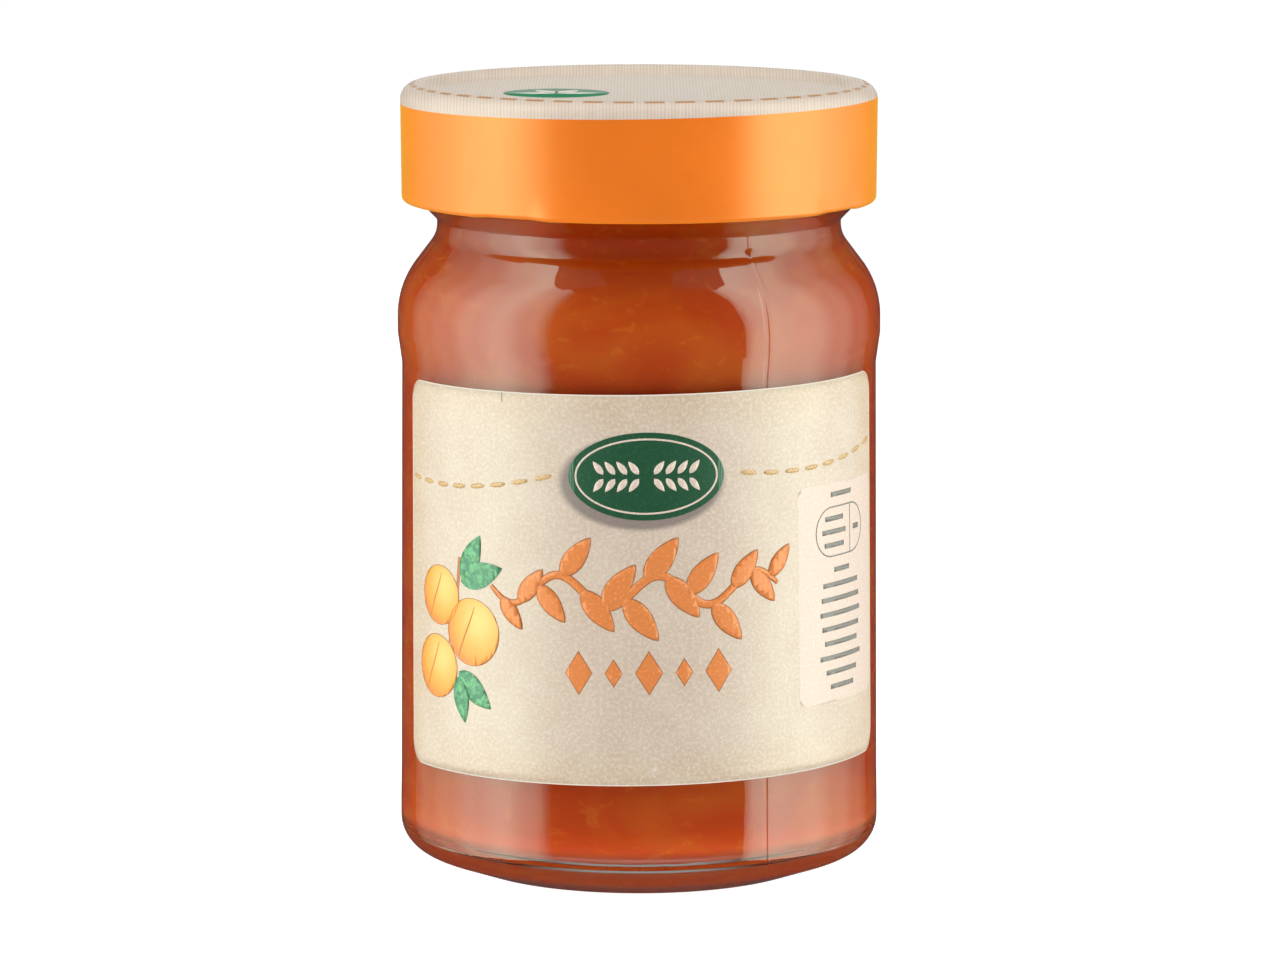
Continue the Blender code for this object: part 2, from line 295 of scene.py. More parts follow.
def turned(profile, columns):
    """A bmesh of a profile in (r, z) turned about +Z."""
    shape = bmesh.new()
    verts = [shape.verts.new((r, 0.0, z)) for r, z in profile]
    edges = [shape.edges.new(pair) for pair in zip(verts, verts[1:])]
    bmesh.ops.spin(
        shape, geom=verts + edges, cent=(0.0, 0.0, 0.0), axis=(0.0, 0.0, 1.0), dvec=(0.0, 0.0, 0.0),
        angle=math.tau, steps=columns, use_merge=True, use_duplicate=False)
    bmesh.ops.remove_doubles(shape, verts=shape.verts[:], dist=MERGE_DISTANCE)
    bmesh.ops.recalc_face_normals(shape, faces=shape.faces[:])
    return shape


def angle_from_front(co):
    """Angle of a point round the jar, in degrees."""
    return math.degrees(math.atan2(co.x, -co.y))


def apart(angle, other):
    """The angle between two directions round the jar, in degrees."""
    return abs((angle - other + 180.0) % 360.0 - 180.0)


def smooth_step(low, high, value):
    """0 below low, 1 above high, and smooth in between."""
    share = min(1.0, max(0.0, (value - low) / (high - low)))
    return share * share * (3.0 - 2.0 * share)


def push_out(vert, distance):
    """Move a vertex straight away from the jar's axis."""
    radius = math.hypot(vert.co.x, vert.co.y)
    scale = (radius + distance) / radius
    vert.co.x *= scale
    vert.co.y *= scale


def cut(shape, point, normal, distance=MERGE_DISTANCE):
    """Cut a bmesh along a plane and keep both sides."""
    bmesh.ops.bisect_plane(
        shape, geom=shape.verts[:] + shape.edges[:] + shape.faces[:], dist=distance,
        plane_co=point, plane_no=normal)


def uv_map(shape, name, place):
    """A UV map that a function works out from each corner's place."""
    layer = shape.loops.layers.uv.new(name)
    for face in shape.faces:
        for loop in face.loops:
            loop[layer].uv = place(loop.vert.co)


def mesh_object(name, shape, material):
    """Turn a bmesh into an object, in place of an older one of that name."""
    old = bpy.data.objects.get(name)
    if old:
        bpy.data.objects.remove(old, do_unlink=True)
    mesh = bpy.data.meshes.new(name)
    shape.to_mesh(mesh)
    shape.free()
    mesh.materials.append(material)
    made = bpy.data.objects.new(name, mesh)
    bpy.context.scene.collection.objects.link(made)
    return made


def make_piece(name, shape, material, replaced=None, sharp_deg=40.0):
    """Turn a bmesh into a finished piece that rides on the jar."""
    for face in shape.faces:
        face.smooth = True
    piece = mesh_object(name, shape, material)
    piece.data.set_sharp_from_angle(angle=math.radians(sharp_deg))
    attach(piece, BODY)
    if replaced:
        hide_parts(replaced)
    return piece


def thicken(piece, thickness, offset):
    """Give a sheet its thickness."""
    wall = piece.modifiers.new("Thickness", "SOLIDIFY")
    wall.thickness = thickness
    wall.offset = offset
    wall.use_even_offset = True


def even_shading(piece):
    """Let a thin field's broad faces alone set its shading, up to its edges."""
    normals = piece.modifiers.new("Shading", "WEIGHTED_NORMAL")
    normals.mode = "FACE_AREA"
    normals.weight = 100


# Materials

class NodeMaker:
    """Adds nodes to a node tree and joins them."""

    def __init__(self, tree):
        self.tree = tree

    def join(self, socket, value):
        """Give an input socket a constant or a link."""
        if isinstance(value, NodeSocket):
            self.tree.links.new(value, socket)
        else:
            socket.default_value = value

    def put(self, kind, inputs, output=0, **settings):
        """Add a node and return one of its output sockets."""
        node = self.tree.nodes.new("ShaderNode" + kind)
        for name, value in settings.items():
            setattr(node, name, value)
        for key, value in inputs.items():
            self.join(node.inputs[key], value)
        return node.outputs[output]

    def math(self, operation, first, second=0.0):
        return self.put("Math", {0: first, 1: second}, operation=operation)

    def times(self, first, second):
        return self.math("MULTIPLY", first, second)

    def plus(self, first, second):
        return self.math("ADD", first, second)

    def minus(self, first, second):
        return self.math("SUBTRACT", first, second)

    def absolute(self, value):
        return self.math("ABSOLUTE", value)

    def vector(self, operation, first, second=(0.0, 0.0, 0.0), output=0):
        return self.put("VectorMath", {0: first, 1: second}, output, operation=operation)

    def axis(self, vector, number):
        return self.put("SeparateXYZ", {0: vector}, number)

    def place(self):
        """Coordinates on the piece, in metres."""
        return self.put("TexCoord", {}, 3)

    def uv(self, name):
        return self.put("UVMap", {}, uv_map=name)

    def step(self, value, low, high):
        """0 where value is low and 1 where it is high, smooth in between."""
        return self.put("MapRange", {"Value": value, "From Min": low, "From Max": high},
                        interpolation_type="SMOOTHSTEP")

    def mix(self, factor, first, second):
        """Mix two colours, each a socket or three numbers."""
        ends = [tone if isinstance(tone, NodeSocket) else (*tone, 1.0) for tone in (first, second)]
        return self.put("Mix", {0: factor, 6: ends[0], 7: ends[1]}, 2, data_type="RGBA")

    def noise(self, coords, scale, detail=2.0, roughness=0.5, distortion=0.0):
        return self.put("TexNoise", {"Vector": coords, "Scale": scale, "Detail": detail,
                                     "Roughness": roughness, "Distortion": distortion})

    def bands(self, coords, pitch, direction, distortion):
        """Smooth stripes a given pitch apart."""
        return self.put("TexWave", {"Vector": coords, "Scale": math.pi / 10.0 / pitch,
                                    "Distortion": distortion, "Detail": 1.0}, 1,
                        bands_direction=direction)

    def weave(self, coords, slant, pitch, distortion):
        """Crossings of two sets of stripes on a turned map."""
        turned_map = self.put("Mapping", {"Vector": coords, "Rotation": (0.0, 0.0, slant)})
        return self.times(*[self.bands(turned_map, pitch, way, distortion) for way in "XY"])


class MaterialMaker(NodeMaker):
    """Makes one material, with nodes that feed its shader."""

    def __init__(self, name, constants):
        old = bpy.data.materials.get(name)
        if old:
            bpy.data.materials.remove(old)
        self.material = bpy.data.materials.new(name)
        self.material.use_nodes = True
        super().__init__(self.material.node_tree)
        self.shader = self.tree.nodes["Principled BSDF"]
        for socket, value in constants.items():
            self.shader.inputs[socket].default_value = value

    def paint(self, tone):
        self.join(self.shader.inputs["Base Color"], tone)

    def roughen(self, value, low, high):
        """Let a value from 0 to 1 set the roughness between two bounds."""
        rough = self.put("MapRange", {"Value": value, "To Min": low, "To Max": high})
        self.join(self.shader.inputs["Roughness"], rough)

    def bump(self, height, distance):
        """Raise the surface by up to a distance where height is 1."""
        normal = self.put("Bump", {"Height": height, "Distance": distance, "Strength": 1.0})
        self.join(self.shader.inputs["Normal"], normal)


def shaded(tone, share):
    """A colour times a share, at most white."""
    return tuple(min(1.0, share * part) for part in tone)


# Glass

def thread_height(angle, z, reach):
    """How far the thread ridges stand out of the glass at an angle and a height."""
    turn = (angle - THREAD_FIRST_DEG) % (360.0 / THREAD_COUNT) / THREAD_SPAN_DEG
    if turn > 1.0:
        return 0.0
    middle = THREAD_LOW_Z + THREAD_RISE * turn
    across = 1.0 - smooth_step(0.35, 1.0, abs(z - middle) / THREAD_HALF_HEIGHT)
    ends = smooth_step(0.0, 0.06, turn) * smooth_step(0.0, 0.06, 1.0 - turn)
    return reach * across * ends


def seam_ridge(z, seam_z, half_width):
    """Share of a ring seam's height at a height on the glass."""
    return 1.0 - smooth_step(0.0, 1.0, abs(z - seam_z) / half_width)


def mark_glass(shape, settings):
    """Raise the thread ridges, the mould seams and the nub where they cross."""
    seam_deg = settings.seam_column * 360.0 / settings.columns
    for offset in SEAM_CUTS_DEG:
        angle = math.radians(seam_deg + offset)
        cut(shape, (0.0, 0.0, 0.0), (math.cos(angle), math.sin(angle), 0.0))
    nub = Vector((math.sin(math.radians(seam_deg)), -math.cos(math.radians(seam_deg)), 0.0)) * NECK_RADIUS
    nub.z = NUB_Z
    for vert in shape.verts:
        radius = math.hypot(vert.co.x, vert.co.y)
        z = vert.co.z
        if radius < NECK_RADIUS - 0.3 * MM or z < 0.5 * MM:
            continue
        angle = angle_from_front(vert.co)
        rise = 0.0
        if z > FINISH_LOW_Z + 1.0 * MM and radius > FINISH_RADIUS - 0.1 * MM:
            rise += thread_height(angle, z, settings.thread_reach)
        wave = noise.noise(Vector((vert.co.x, vert.co.y, 0.0)) / (3.0 * MM))
        shoulder_z = SHOULDER_SEAM_Z + SHOULDER_SEAM_WAVE * wave
        rise += SHOULDER_SEAM_RISE * seam_ridge(z, shoulder_z, SHOULDER_SEAM_HALF)
        rise += NECK_SEAM_RISE * seam_ridge(z, NECK_SEAM_Z, NECK_SEAM_HALF)
        rise += NUB_RISE * math.exp(-((vert.co - nub).length / NUB_SPREAD) ** 2)
        seam_off = min(apart(angle, seam_deg), apart(angle, seam_deg + 180.0))
        if z < FINISH_LOW_Z:
            rise += settings.seam_height * (1.0 - smooth_step(0.0, SEAM_HALF_DEG, seam_off))
        if rise > 0.0:
            push_out(vert, rise)


def glass_inside(wall):
    """Corners of the inside of the glass, from the middle of its floor up to the throat."""
    return [
        (0.0, FLOOR_Z),
        (HEEL_RADIUS - wall, FLOOR_EDGE_Z, 7.0 * MM, 10),
        (PANEL_LOW_RADIUS - wall, PANEL_LOW_Z),
        (PANEL_TOP_RADIUS - wall, PANEL_TOP_Z),
        (SHOULDER_RADIUS - wall, SHOULDER_INNER_CORNER_Z, SHOULDER_ROUND - wall, 12),
        (THROAT_RADIUS, THROAT_Z, NECK_ROUND, 8),
    ]


def glass_outside():
    """Corners of the rim and the outside of the glass, down to the middle of the base."""
    return [
        (BORE_RADIUS, RIM_Z, 0.8 * MM, 4),
        (FINISH_RADIUS, RIM_Z, 1.3 * MM, 6),
        (FINISH_RADIUS, FINISH_LOW_Z, 0.6 * MM, 4),
        (NECK_RADIUS, NECK_TOP_Z, 1.0 * MM, 5),
        (NECK_RADIUS, NECK_LOW_Z, NECK_ROUND, 8),
        (SHOULDER_RADIUS, SHOULDER_CORNER_Z, SHOULDER_ROUND, 18),
        (SHOULDER_RADIUS, SHOULDER_LOW_Z, 4.0 * MM, 5),
        (PANEL_TOP_RADIUS, PANEL_TOP_Z, 4.0 * MM, 5),
        (PANEL_LOW_RADIUS, PANEL_LOW_Z),
        (HEEL_RADIUS, HEEL_Z),
        (HEEL_RADIUS, HEEL_CORNER_Z, 5.0 * MM, 12),
        (FOOT_OUTER_RADIUS, 0.0, 1.0 * MM, 3),
        (FOOT_INNER_RADIUS, 0.0, 1.0 * MM, 3),
        (PUNT_RADIUS, PUNT_HEIGHT, 4.0 * MM, 6),
        (0.0, PUNT_HEIGHT + PUNT_CROWN),
    ]


def glass_material(settings):
    """Clear flint glass, its surface gently wavy from the mould."""
    maker = MaterialMaker("clear_flint_glass", {
        "Base Color": (*settings.tint, 1.0), "Roughness": 0.012, "IOR": 1.52, "Transmission Weight": 1.0})
    place = maker.place()
    stretched = maker.put("Mapping", {"Vector": place, "Scale": (1.0, 1.0, 0.35)})
    maker.bump(maker.noise(stretched, 260.0, 2.0), 0.025 * MM)
    return maker.material


class JAMJAR_OT_glass(Operator):
    """Turn the glass jar, with its thread ridges and mould seams"""
    bl_idname = "jam_jar.glass"
    bl_label = "Glass"
    bl_options = {"REGISTER", "UNDO"}

    def execute(self, context):
        settings = context.scene.jam_jar_glass
        profile = rounded_profile(glass_inside(settings.wall) + glass_outside())
        profile = refined(profile, FINISH_LOW_Z, RIM_Z - 1.0 * MM, 0.45 * MM)
        profile = refined(profile, SHOULDER_SEAM_Z - 0.7 * MM, NECK_SEAM_Z + 0.6 * MM, 0.1 * MM)
        shape = turned(profile, settings.columns)
        mark_glass(shape, settings)
        make_piece("glass_vessel", shape, glass_material(settings), "glass_jar", 60.0)
        return {"FINISHED"}


# Jam

def jam_material(settings):
    """Amber jelly with wisps of pulp, lit through its depth, with painted shade at its bottom."""
    maker = MaterialMaker("fruit_jam", {
        "Roughness": 0.35, "IOR": 1.45, "Specular IOR Level": 0.1, "Subsurface Weight": 1.0,
        "Subsurface Radius": (1.0, 0.42, 0.06), "Subsurface Scale": settings.depth})
    place = maker.place()
    drift = maker.put("Mapping", {"Vector": place, "Scale": (1.0, 1.0, 1.6), "Rotation": (0.4, 0.2, 0.0)})
    cloud = maker.step(maker.noise(drift, 55.0, 3.0, 0.55, 0.6), 0.38, 0.72)
    wisps = maker.step(maker.noise(drift, 210.0, 4.0, 0.6, 1.8), 0.56, 0.70)
    pulp = maker.plus(maker.times(cloud, 0.45), maker.times(wisps, 0.35))
    jelly = maker.mix(pulp, settings.deep, settings.pulp)
    # Painted shade: the jam turns dark in its lowest two millimetres, where it sits on the glass floor.
    low = maker.step(maker.axis(place, 2), 8.0 * MM, 6.2 * MM)
    jelly = maker.mix(maker.times(low, 0.6), jelly, (0.20, 0.03, 0.006))
    maker.paint(jelly)
    return maker.material


class JAMJAR_OT_jam(Operator):
    """Fill the jar with jam that reaches just into the glass wall"""
    bl_idname = "jam_jar.jam"
    bl_label = "Jam"
    bl_options = {"REGISTER", "UNDO"}

    def execute(self, context):
        settings = context.scene.jam_jar_jam
        wall = context.scene.jam_jar_glass.wall - settings.reach
        corners = glass_inside(wall)
        corners[0] = (0.0, FLOOR_Z - settings.reach)
        corners[1] = (corners[1][0], FLOOR_EDGE_Z - settings.reach, *corners[1][2:])
        corners[-1] = (THROAT_RADIUS + settings.reach, *corners[-1][1:])
        side = rounded_profile(corners + [(BORE_RADIUS + settings.reach, settings.level)])
        shape = turned([(0.0, settings.level)] + side[::-1], 128)
        make_piece("jam_fill", shape, jam_material(settings), "jam")
        return {"FINISHED"}


# Lid

def lid_profile(settings):
    """The lid's outer face, from the middle of its panel to the end of its curl."""
    panel_z = settings.top - settings.panel_depth
    curl_z = settings.foot + CURL_RADIUS
    curl_r = LID_RADIUS_LOW - CURL_RADIUS
    points = rounded_profile([
        (0.0, panel_z),
        (LID_PANEL_RADIUS, panel_z, 0.5 * MM, 4),
        (LID_PANEL_RADIUS + settings.panel_depth, settings.top, 1.4 * MM, 7),
        (LID_RADIUS_TOP, settings.top, LID_CORNER_ROUND, 12),
        (LID_RADIUS_LOW, curl_z),
    ])
    for step in range(1, CURL_STEPS + 1):
        turn = Matrix.Rotation(-math.radians(CURL_TURN_DEG) * step / CURL_STEPS, 2)
        points.append(tuple(Vector((curl_r, curl_z)) + turn @ Vector((CURL_RADIUS, 0.0))))
    return refined(points, curl_z, settings.top - 3.0 * MM, 0.5 * MM)


def press_lugs(shape, settings):
    """Press the skirt in over each lug and push the curl there in towards the glass."""
    curl_r = LID_RADIUS_LOW - CURL_RADIUS
    for vert in shape.verts:
        above = vert.co.z - settings.foot
        if above > 6.0 * MM:
            continue
        angle = angle_from_front(vert.co)
        radius = math.hypot(vert.co.x, vert.co.y)
        for number in range(LUG_COUNT):
            off = apart(angle, LUG_FIRST_DEG + number * 360.0 / LUG_COUNT)
            share = 1.0 - smooth_step(LUG_HALF_SPAN_DEG - 2.5, LUG_HALF_SPAN_DEG + 1.5, off)
            if share == 0.0:
                continue
            if radius > curl_r:
                share_here = share * (1.0 - smooth_step(0.4 * MM, 4.5 * MM, above))
                push_out(vert, -settings.dent_depth * share_here)
            else:
                inner = (curl_r - radius) / CURL_RADIUS
                push_out(vert, share * inner * (LUG_REACH_RADIUS - curl_r + CURL_RADIUS))
            if above < 2.0 * CURL_RADIUS and radius > LUG_REACH_RADIUS:
                vert.co.z += share * 0.18 * MM * (1.0 - above / (2.0 * CURL_RADIUS))


def unroll_print(shape, top):
    """A UV map in metres that unrolls the lid from its middle, as a printed blank of metal."""
    def unrolled(co):
        radius = math.hypot(co.x, co.y)
        down = max(0.0, top - co.z - LID_CORNER_ROUND)
        scale = (radius + down) / radius if radius > LID_PANEL_RADIUS else 1.0
        return co.x * scale, co.y * scale

    uv_map(shape, "blank", unrolled)


def enamel_material(settings):
    """Orange enamel with a satin lustre, for the lid's side."""
    maker = MaterialMaker("lid_enamel", {
        "IOR": 1.5, "Specular IOR Level": 1.0, "Specular Tint": (1.0, 0.90, 0.48, 1.0),
        "Sheen Weight": 0.55, "Sheen Roughness": 0.45, "Sheen Tint": (1.0, 0.78, 0.06, 1.0)})
    place = maker.place()
    mottle = maker.step(maker.noise(place, 60.0, 4.0, 0.6), 0.3, 0.75)
    maker.paint(maker.mix(mottle, settings.enamel, shaded(settings.enamel, 1.12)))
    maker.roughen(maker.noise(place, 300.0, 3.0, 0.6), *LID_ROUGHNESS)
    maker.bump(maker.noise(place, 1500.0, 2.0), LID_RELIEF)
    return maker.material


def cloth_material(settings):
    """Cloth-like print with a ring of stitches, for the lid's top."""
    maker = MaterialMaker("lid_cloth_print", {
        "IOR": 1.5, "Specular IOR Level": 0.42, "Specular Tint": (1.0, 0.76, 0.62, 1.0)})
    place = maker.place()
    blank = maker.uv("blank")
    weft = maker.bands(blank, 0.5 * MM, "X", 0.9)
    warp = maker.bands(blank, 0.5 * MM, "Y", 0.9)
    threads = maker.times(weft, maker.plus(maker.times(warp, 0.3), 0.7))
    slubs = maker.noise(maker.put("Mapping", {"Vector": blank, "Scale": (1.0, 0.12, 1.0)}), 900.0, 3.0)
    cloth = maker.mix(maker.minus(1.0, threads), shaded(settings.cloth, 0.78), settings.cloth)
    cloth = maker.mix(maker.times(maker.step(slubs, 0.35, 0.75), 0.3), cloth, CLOTH_SLUB)

    x, y = maker.axis(place, 0), maker.axis(place, 1)
    radius = maker.vector("LENGTH", maker.put("CombineXYZ", {0: x, 1: y}), output=1)
    off_ring = maker.absolute(maker.minus(radius, STITCH_RING_RADIUS))
    ring = maker.step(off_ring, STITCH_HALF_WIDTH + STITCH_SOFT, STITCH_HALF_WIDTH)
    dash = maker.math("FRACT", maker.times(maker.math("ARCTAN2", x, y), STITCH_COUNT / math.tau))
    dash = maker.step(maker.absolute(maker.minus(dash, 0.5)), 0.34, 0.31)
    maker.paint(maker.mix(maker.times(maker.times(ring, dash), 0.85), cloth, STITCH_BROWN))
    maker.roughen(maker.noise(place, 300.0, 3.0, 0.6), *LID_ROUGHNESS)
    maker.bump(maker.plus(maker.noise(place, 1500.0, 2.0), maker.times(threads, 0.4)), LID_RELIEF)
    return maker.material


def mark_print(shape, low):
    """Cut the lid along the slightly slanted edge of its print, and mark the faces above."""
    edge, upwards = Vector((0.0, 0.0, low)), Vector((-PRINT_SLOPE, 0.0, 1.0))
    cut(shape, edge, upwards)
    for face in shape.faces:
        if (face.calc_center_median() - edge).dot(upwards) > 0.0:
            face.material_index = 1


class JAMJAR_OT_lid(Operator):
    """Press the lid, with its raised rim, its curl and its lugs"""
    bl_idname = "jam_jar.lid"
    bl_label = "Lid"
    bl_options = {"REGISTER", "UNDO"}

    def execute(self, context):
        settings = context.scene.jam_jar_lid
        shape = turned(lid_profile(settings), LID_COLUMNS)
        press_lugs(shape, settings)
        mark_print(shape, settings.print_low)
        unroll_print(shape, settings.top)
        top = max(shape.faces, key=lambda face: face.calc_center_median().z)
        if top.normal.z < 0.0:
            bmesh.ops.reverse_faces(shape, faces=shape.faces[:])
        lid = make_piece("lid_shell", shape, enamel_material(settings), "lid")
        lid.data.materials.append(cloth_material(settings))
        thicken(lid, settings.wall, -1.0)
        return {"FINISHED"}


# Label

def stick_on(shape, lift):
    """Bend a flat sheet in (across, up) round the glass, at a height above it."""
    for vert in shape.verts:
        across, up = vert.co.x, vert.co.y
        arc = across * math.cos(LABEL_SLANT) - up * math.sin(LABEL_SLANT)
        z = LABEL_MIDDLE_Z + across * math.sin(LABEL_SLANT) + up * math.cos(LABEL_SLANT)
        radius = panel_radius(z) + lift
        angle = LABEL_MIDDLE_ANGLE + arc / panel_radius(LABEL_MIDDLE_Z)
        vert.co = (radius * math.sin(angle), -radius * math.cos(angle), z)


def corner_inset(distance):
    """How far the rounded corner pulls the sheet's edge in, at a distance from its side."""
    if distance >= LABEL_CORNER:
        return 0.0
    return LABEL_CORNER - math.sqrt(LABEL_CORNER ** 2 - (LABEL_CORNER - distance) ** 2)


def sheet_columns():
    """Distances of the sheet's columns from its left side, close together at the corners."""
    turns = [math.pi / 2.0 * step / CORNER_COLUMNS for step in range(CORNER_COLUMNS)]
    left = [LABEL_CORNER * (1.0 - math.cos(turn)) for turn in turns]
    straight = (LABEL_WIDTH - 2.0 * LABEL_CORNER) / MIDDLE_COLUMNS
    middle = [LABEL_CORNER + straight * step for step in range(MIDDLE_COLUMNS + 1)]
    return left + middle + [LABEL_WIDTH - distance for distance in reversed(left)]


def paper_material(settings):
    """Matt varnished paper with a printed linen hatch, darker towards its edges."""
    maker = MaterialMaker("label_paper", {"IOR": 1.5, "Specular IOR Level": 0.8})
    flat = maker.uv("flat")
    across, up = maker.axis(flat, 0), maker.axis(flat, 1)
    side = maker.minus(LABEL_WIDTH / 2.0, maker.absolute(across))
    end = maker.minus(LABEL_HEIGHT / 2.0, maker.absolute(up))
    wobble = maker.times(maker.minus(maker.noise(flat, 90.0, 3.0), 0.5), 6.0 * MM)
    near_side = maker.times(maker.step(maker.plus(side, wobble), 10.0 * MM, 0.0), 0.75)
    near_end = maker.times(maker.step(maker.plus(end, wobble), 7.0 * MM, 0.0), 0.6)
    paper = maker.mix(maker.math("MAXIMUM", near_side, near_end), settings.light, settings.tan)

    hatch = maker.times(maker.weave(flat, HATCH_SLANT, 0.34 * MM, 1.2), 0.36)
    paper = maker.mix(hatch, paper, shaded(settings.tan, 0.80))
    grain = maker.step(maker.noise(flat, 1900.0, 2.0, 0.7), 0.40, 0.70)
    paper = maker.mix(maker.times(grain, 0.42), paper, PAPER_GRAIN)
    flecks = maker.step(maker.noise(flat, 1500.0, 3.0, 0.8), 0.66, 0.74)
    paper = maker.mix(maker.times(flecks, 0.45), paper, PAPER_FLECK)
    clouds = maker.step(maker.noise(flat, 130.0, 4.0, 0.6), 0.35, 0.70)
    paper = maker.mix(maker.times(clouds, 0.16), paper, PAPER_CLOUD)

    shadow = maker.vector("MULTIPLY", maker.vector("ADD", flat, SHADOW_SHIFT), SHADOW_SCALE)
    shadow = maker.step(maker.vector("LENGTH", shadow, output=1), 1.09, 0.95)
    paper = maker.mix(maker.times(shadow, 0.72), paper, SHADOW_TONE)
    below = maker.times(maker.minus(LABEL_HEIGHT / 2.0, up), TICK_SLIMNESS)
    tick = maker.math("MAXIMUM", maker.absolute(maker.plus(across, TICK_SHIFT)), below)
    tick = maker.step(tick, 0.17 * MM, 0.11 * MM)
    paper = maker.mix(maker.times(tick, 0.8), paper, TICK_TONE)
    scuff = maker.plus(maker.vector("DISTANCE", flat, SCUFF_PLACE, 1), maker.times(clouds, 1.6 * MM))
    scuff = maker.step(scuff, 1.9 * MM, 0.6 * MM)
    paper = maker.mix(maker.times(scuff, 0.5), paper, SCUFF_TONE)

    cut_edge = maker.step(maker.math("MINIMUM", side, end), 0.22 * MM, 0.12 * MM)
    maker.paint(maker.mix(cut_edge, paper, PAPER_CUT))
    maker.roughen(grain, 0.42, 0.50)
    maker.bump(maker.plus(grain, hatch), 0.01 * MM)
    return maker.material


class JAMJAR_OT_label(Operator):
    """Stick the paper label round the front of the glass"""
    bl_idname = "jam_jar.label"
    bl_label = "Label"
    bl_options = {"REGISTER", "UNDO"}

    def execute(self, context):
        settings = context.scene.jam_jar_label
        columns = sheet_columns()
        shape = bmesh.new()
        bmesh.ops.create_grid(shape, x_segments=len(columns) - 1, y_segments=LABEL_ROWS, size=0.5)
        for vert in shape.verts:
            along = columns[round((vert.co.x + 0.5) * (len(columns) - 1))]
            inset = corner_inset(min(along, LABEL_WIDTH - along))
            vert.co.x = along - LABEL_WIDTH / 2.0
            vert.co.y *= LABEL_HEIGHT - 2.0 * inset
        uv_map(shape, "flat", lambda co: co.xy)
        stick_on(shape, settings.gap)
        sheet = make_piece("label_sheet", shape, paper_material(settings), "label")
        thicken(sheet, settings.paper, 1.0)
        return {"FINISHED"}


# Print, as outlines in millimetres on the flat sheet

PRINT_COLUMNS = 100
GARLAND_HALF_WIDTH = 22.5
GARLAND_MIDDLE = -2.2
GARLAND_SWING = 2.3
GARLAND_STEPS = 72
GARLAND_LEAVES = 14
GARLAND_LEAF_TURN = math.radians(52.0)
DIAMOND_HEIGHTS = (3.1, 1.9, 3.1, 1.9, 3.1)
DIAMOND_PITCH = 5.2
DIAMOND_Y = -12.2
STITCH_WIDTHS = (0.30, 0.62, 0.74, 0.76, 0.74, 0.62, 0.30)
OVAL_Y = 17.0
# Each fruit as (x, y, radius), and each of its leaves as (x, y, turn in degrees, length)
FRUITS = ((-36.0, -2.6, 4.6), (-28.6, -7.4, 5.2), (-36.8, -13.4, 4.9))
FRUIT_LEAVES = ((-30.5, 0.2, 62.0, 8.0), (-30.8, 0.0, 18.0, 8.6),
                (-31.4, -13.6, -38.0, 8.2), (-31.6, -14.4, -78.0, 7.0))
FRUIT_STEM = ((-31.0, 3.6), (-31.6, -1.0), (-32.6, -6.0), (-33.6, -9.5))
FRUIT_STEM_WIDTHS = (0.9, 0.7, 0.6, 0.5)
INFORMATION_PLACE = (34.4, -3.0)
CAPSULE_RISE = 9.2
BAR_WIDTHS = (4.2, 9.6, 10.4, 11.0, 10.2, 9.0, 11.2, 8.4, 6.4)
CAPSULE_BAR_WIDTHS = (4.6, 6.0, 5.0)
BAR_HEIGHT = 0.75
LID_FIELD_PLACE = (-12.4, -4.5)
LID_INK = 0.012 * MM
INK_SLANT = math.radians(45.0)
PRINT_SHADER = {"IOR": 1.5, "Specular IOR Level": 0.7, "Roughness": 0.42}


def moved(outline, x, y, angle):
    """An outline turned and moved."""
    turn = Matrix.Rotation(angle, 2)
    return [tuple(turn @ Vector(point) + Vector((x, y))) for point in outline]


def oval(x, y, wide, high, pieces=48):
    """Outline of an oval, from its half width and half height."""
    steps = [math.tau * step / pieces for step in range(pieces)]
    return [(x + wide * math.cos(turn), y + high * math.sin(turn)) for turn in steps]


def block(x, y, wide, high, corner=0.0, pieces=5):
    """Outline of a rectangle with rounded corners, about its middle."""
    if corner == 0.0:
        return [(x - wide / 2, y - high / 2), (x + wide / 2, y - high / 2),
                (x + wide / 2, y + high / 2), (x - wide / 2, y + high / 2)]
    points = []
    for quarter, (side, end) in enumerate(((1, 1), (-1, 1), (-1, -1), (1, -1))):
        centre = Vector((x + side * (wide / 2 - corner), y + end * (high / 2 - corner)))
        for step in range(pieces + 1):
            turn = math.pi / 2.0 * (quarter + step / pieces)
            points.append(tuple(centre + corner * Vector((math.cos(turn), math.sin(turn)))))
    return points


def leaf(long, width, pieces=12, grow=0.0):
    """Outline of a pointed leaf that starts at the origin and runs along +X."""
    upper = []
    for step in range(pieces + 1):
        share = step / pieces
        half = width / 2.0 * math.sin(math.pi * share ** 0.8) ** 0.85 + grow
        upper.append((-grow + share * (long + 2.0 * grow), half if 0 < step < pieces else 0.0))
    return upper + [(x, -y) for x, y in upper[-2:0:-1]]


def ribbon(points, widths):
    """Outline of a line drawn with a changing width."""
    left, right = [], []
    for index, point in enumerate(points):
        before = Vector(points[max(index - 1, 0)])
        after = Vector(points[min(index + 1, len(points) - 1)])
        along = (after - before).normalized()
        side = Vector((-along.y, along.x)) * widths[index] / 2.0
        left.append(tuple(Vector(point) + side))
        right.append(tuple(Vector(point) - side))
    return left + right[::-1]


def line(points, width):
    """Outline of a line of even width."""
    return ribbon(points, [width] * len(points))


